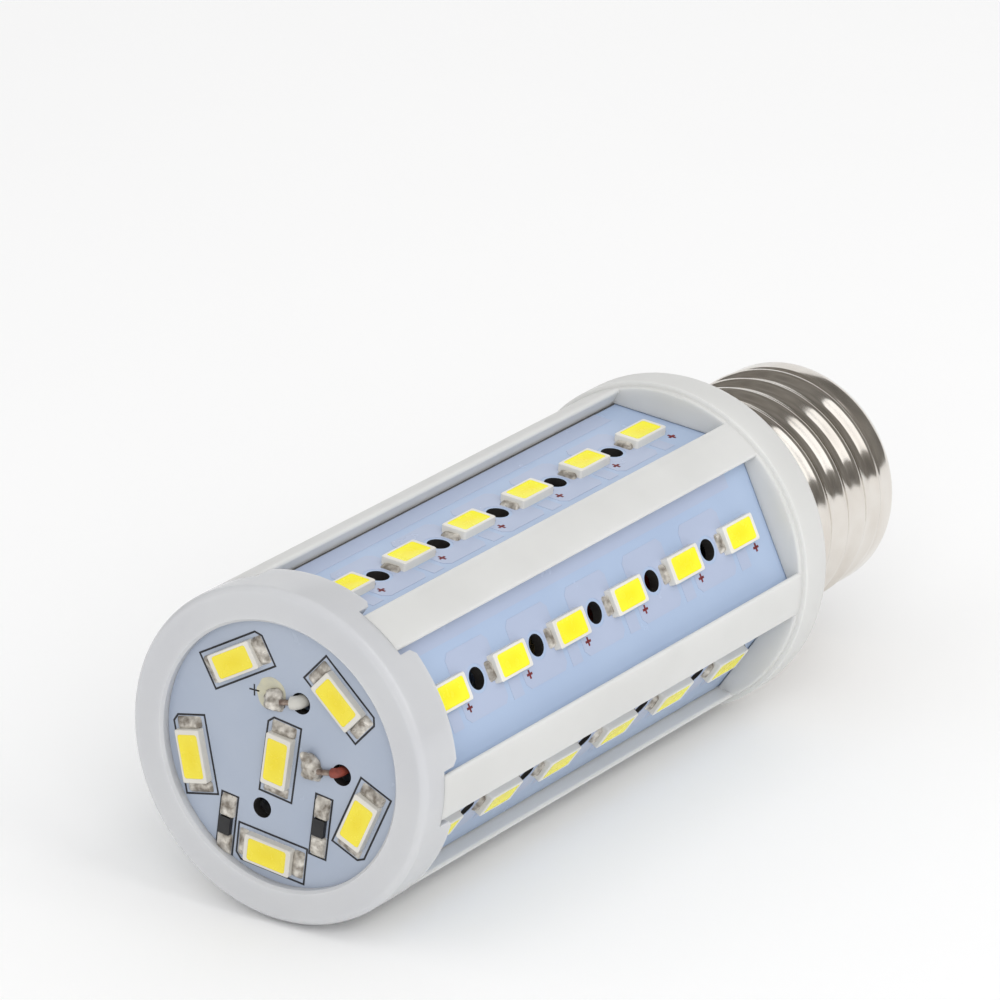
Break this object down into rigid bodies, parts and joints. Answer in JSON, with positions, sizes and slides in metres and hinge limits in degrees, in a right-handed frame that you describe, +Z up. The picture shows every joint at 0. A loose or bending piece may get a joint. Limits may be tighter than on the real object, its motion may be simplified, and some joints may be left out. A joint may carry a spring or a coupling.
{
  "type": "led light bulb",
  "caption": "LED lamp with an E27 screw base: a ribbed white body holds LED strip boards in its windows, and a round LED board closes the front.",
  "frame": {"origin": "on the surface under the lamp, below the middle of its length and width", "axes": "+Y along the lamp's axis towards the screw base, +Z up, +X to the right seen from the front"},
  "size_m": [0.037, 0.105, 0.037],
  "materials": {
    "body_plastic": "satin white moulding",
    "cap_plastic": "satin white moulding, slightly translucent",
    "board": "white solder mask with a blue tint",
    "led_package": "smooth white resin",
    "led_phosphor": "clear yellow silicone",
    "solder": "bright solder",
    "resistor_body": "black coating",
    "wire": "thin insulated wire",
    "plated_shell": "nickel-plated rolled sheet",
    "insulator_black": "black glassy insulator",
    "contact_metal": "plain pressed metal",
    "driver_board": "bare laminate",
    "film_case": "dipped resin",
    "can_sleeve": "shrink sleeve",
    "fuse_coat": "lacquer"
  },
  "bodies": {
    "root": {"housing": "body_plastic", "front_cap": "cap_plastic", "strip_1_board": "board", "strip_1_led_packages": "led_package", "strip_1_led_windows": "led_phosphor", "strip_1_solder": "solder", "strip_2_board": "board", "strip_2_led_packages": "led_package", "strip_2_led_windows": "led_phosphor", "strip_2_solder": "solder", "strip_3_board": "board", "strip_3_led_packages": "led_package", "strip_3_led_windows": "led_phosphor", "strip_3_solder": "solder", "strip_4_board": "board", "strip_4_led_packages": "led_package", "strip_4_led_windows": "led_phosphor", "strip_4_solder": "solder", "strip_5_board": "board", "strip_5_led_packages": "led_package", "strip_5_led_windows": "led_phosphor", "strip_5_solder": "solder", "strip_6_board": "board", "strip_6_led_packages": "led_package", "strip_6_led_windows": "led_phosphor", "strip_6_solder": "solder", "end_board": "board", "end_led_packages": "led_package", "end_led_windows": "led_phosphor", "end_solder": "solder", "chip_resistors": "resistor_body", "resistor_solder": "solder", "positive_lead": "wire", "negative_lead": "wire", "lead_joints": "solder", "screw_shell": "plated_shell", "insulator": "insulator_black", "centre_contact": "contact_metal", "driver_board": "driver_board", "film_capacitor": "film_case", "electrolytic_capacitor": "can_sleeve", "bridge_rectifier": "resistor_body", "fuse_resistor": "fuse_coat", "live_lead": "wire", "neutral_lead": "wire"}
  },
  "joints": []
}
